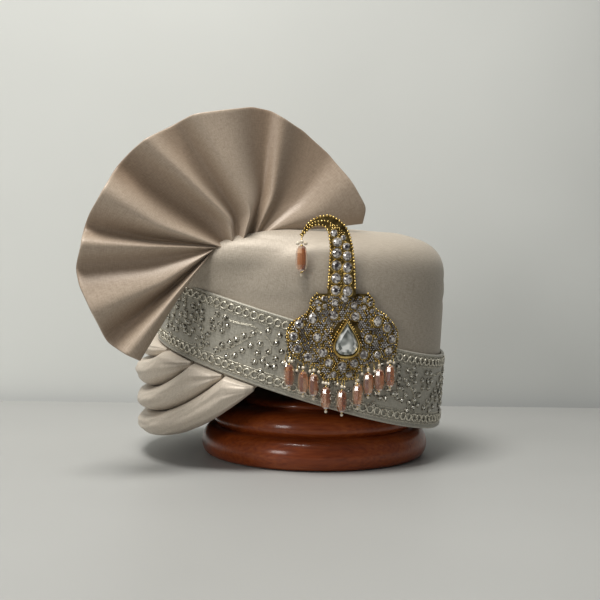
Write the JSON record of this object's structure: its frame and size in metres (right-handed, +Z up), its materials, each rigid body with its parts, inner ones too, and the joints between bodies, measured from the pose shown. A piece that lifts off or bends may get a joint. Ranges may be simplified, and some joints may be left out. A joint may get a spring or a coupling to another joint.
{
  "type": "tied turban with pleated fan on a turned stand",
  "caption": "Hollow tied turban with a pleated side fan, an embroidered band and a jewelled brooch with glass drops, resting on a turned wooden stand.",
  "frame": {"origin": "centre of the stand's foot, on the surface that it stands on", "axes": "+Z up, -Y the front with the brooch, +X the side where the band runs lowest; the fan stands at -X"},
  "size_m": [0.2804, 0.2574, 0.2751],
  "materials": {
    "lacquered_wood": "turned hardwood under glossy red-brown lacquer",
    "plain_cloth": "taupe satin, wound and stiffened",
    "fan_cloth": "taupe satin, doubled, pleated and starched",
    "embroidered_cloth": "grey-green band with metal thread rings and small beads",
    "gilt_metal": "antique gilt with beaded edges",
    "clear_stone": "cut clear glass stone",
    "peach_glass": "peach faceted glass drop with cream pearls"
  },
  "bodies": {
    "root": {"stand_base": "lacquered_wood", "stand_post": "lacquered_wood", "crown": "plain_cloth", "embroidered_band": "embroidered_cloth", "side_fold_1": "plain_cloth", "side_fold_2": "plain_cloth", "side_fold_3": "plain_cloth", "side_fold_4": "plain_cloth", "pleated_fan": "fan_cloth", "fan_knot": "fan_cloth", "brooch_plate": "gilt_metal", "centre_bezel": "gilt_metal", "brooch_pin": "gilt_metal", "centre_stone": "clear_stone", "hook_drop": "peach_glass", "fringe_drop_01": "peach_glass", "fringe_drop_02": "peach_glass", "fringe_drop_03": "peach_glass", "fringe_drop_04": "peach_glass", "fringe_drop_05": "peach_glass", "fringe_drop_06": "peach_glass", "fringe_drop_07": "peach_glass", "fringe_drop_08": "peach_glass", "fringe_drop_09": "peach_glass"}
  },
  "joints": []
}
